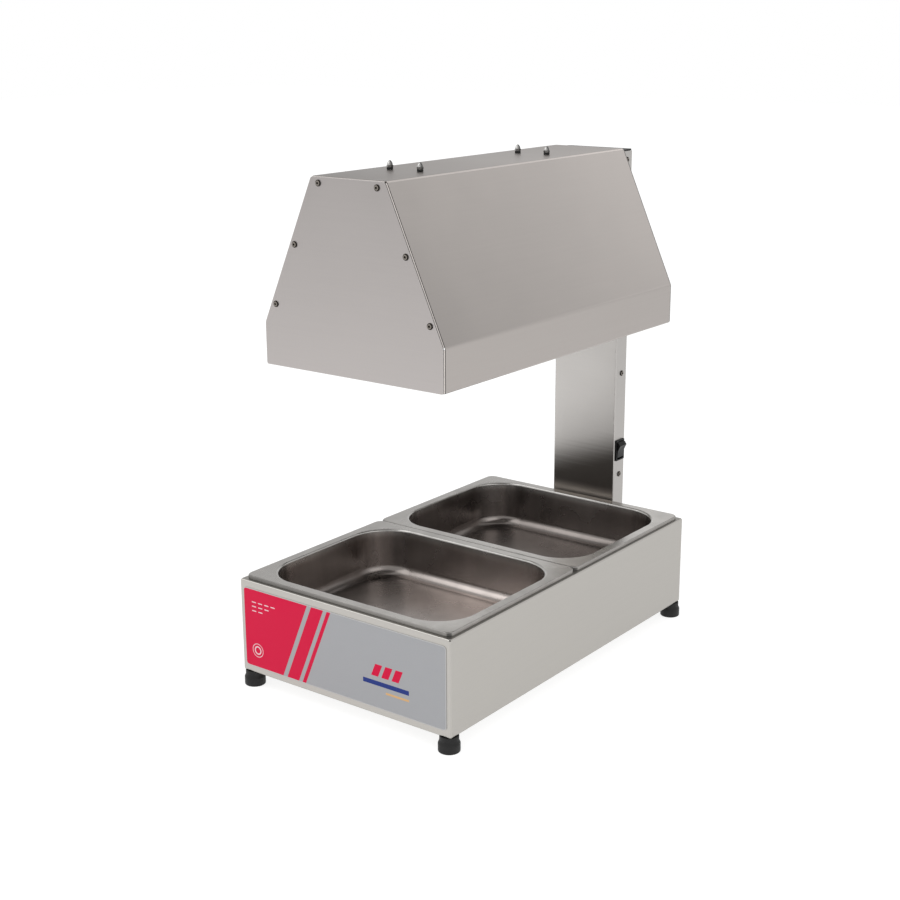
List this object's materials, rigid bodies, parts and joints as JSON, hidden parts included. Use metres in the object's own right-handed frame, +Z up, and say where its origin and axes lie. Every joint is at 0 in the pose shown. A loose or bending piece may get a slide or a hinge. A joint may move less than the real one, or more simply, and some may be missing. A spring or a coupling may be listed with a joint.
{
  "type": "chip warmer",
  "caption": "Countertop warmer with lift-out food pans in a box base, a rear column with a rocker switch and a tapered overhead heating hood on it.",
  "frame": {"origin": "on the floor under the feet, at the centre of the object's footprint box", "axes": "+X to the user's right, +Y from the front panel to the column, +Z up"},
  "size_m": [0.3474, 0.6046, 0.676],
  "materials": {
    "steel": "satin stainless sheet",
    "pan_steel": "polished stainless sheet",
    "rivet_steel": "dull blind rivet",
    "bright_steel": "bright",
    "sheath_steel": "heat-darkened sheath",
    "rubber": "matte black rubber",
    "black_plastic": "satin black plastic",
    "ceramic": "unglazed white ceramic",
    "overlay": "printed film",
    "sleeve": "woven glass sleeve"
  },
  "bodies": {
    "cabinet": {"base_shell": "steel", "base_floor": "steel", "front_overlay": "overlay", "foot_front_left": "rubber", "foot_front_right": "rubber", "foot_rear_left": "rubber", "foot_rear_right": "rubber", "foot_bolt_front_left": "bright_steel", "foot_bolt_front_right": "bright_steel", "foot_bolt_rear_left": "bright_steel", "foot_bolt_rear_right": "bright_steel", "hood_shell": "steel", "hood_front_panel": "steel", "hood_rear_panel": "steel", "hood_front_rivet_1": "rivet_steel", "hood_front_rivet_2": "rivet_steel", "hood_front_rivet_3": "rivet_steel", "hood_front_rivet_4": "rivet_steel", "hood_front_rivet_5": "rivet_steel", "hood_front_rivet_6": "rivet_steel", "hood_rear_rivet_1": "rivet_steel", "hood_rear_rivet_2": "rivet_steel", "hood_rear_rivet_3": "rivet_steel", "hood_rear_rivet_4": "rivet_steel", "hood_nut_1": "bright_steel", "hood_nut_2": "bright_steel", "hood_nut_3": "bright_steel", "hood_nut_4": "bright_steel", "seal_washer_1": "rubber", "seal_washer_2": "rubber", "seal_washer_3": "rubber", "seal_washer_4": "rubber", "cap_nut_1": "bright_steel", "cap_nut_2": "bright_steel", "cap_nut_3": "bright_steel", "cap_nut_4": "bright_steel", "element_bracket_front": "bright_steel", "element_bracket_rear": "bright_steel", "reflector": "bright_steel", "heating_element": "sheath_steel", "terminal_insulator_left": "ceramic", "terminal_insulator_right": "ceramic", "column_channel": "steel", "column_cover": "steel", "column_cap": "black_plastic", "column_rivet_left_1": "rivet_steel", "column_rivet_left_2": "rivet_steel", "column_rivet_left_3": "rivet_steel", "column_rivet_left_4": "rivet_steel", "column_rivet_right_1": "rivet_steel", "column_rivet_right_2": "rivet_steel", "column_rivet_right_3": "rivet_steel", "column_rivet_right_4": "rivet_steel", "switch_housing": "black_plastic", "gland_body": "black_plastic", "gland_dome": "black_plastic", "wiring_loom": "sleeve"},
    "front_pan": {"pan_front": "pan_steel"},
    "rear_pan": {"pan_rear": "pan_steel"},
    "rocker": {"switch_rocker": "black_plastic"}
  },
  "joints": [
    {"name": "pan_front_lift", "type": "slide", "parent": "cabinet", "child": "front_pan", "axis": [0, 0, 1], "range_m": [0, 0.09]},
    {"name": "pan_rear_lift", "type": "slide", "parent": "cabinet", "child": "rear_pan", "axis": [0, 0, 1], "range_m": [0, 0.09]},
    {"name": "switch_rocker_tilt", "type": "hinge", "parent": "cabinet", "child": "rocker", "pos_m": [0.0518, 0.2677, 0.2265], "axis": [0, 1, 0], "range_deg": [-28, 0]}
  ]
}
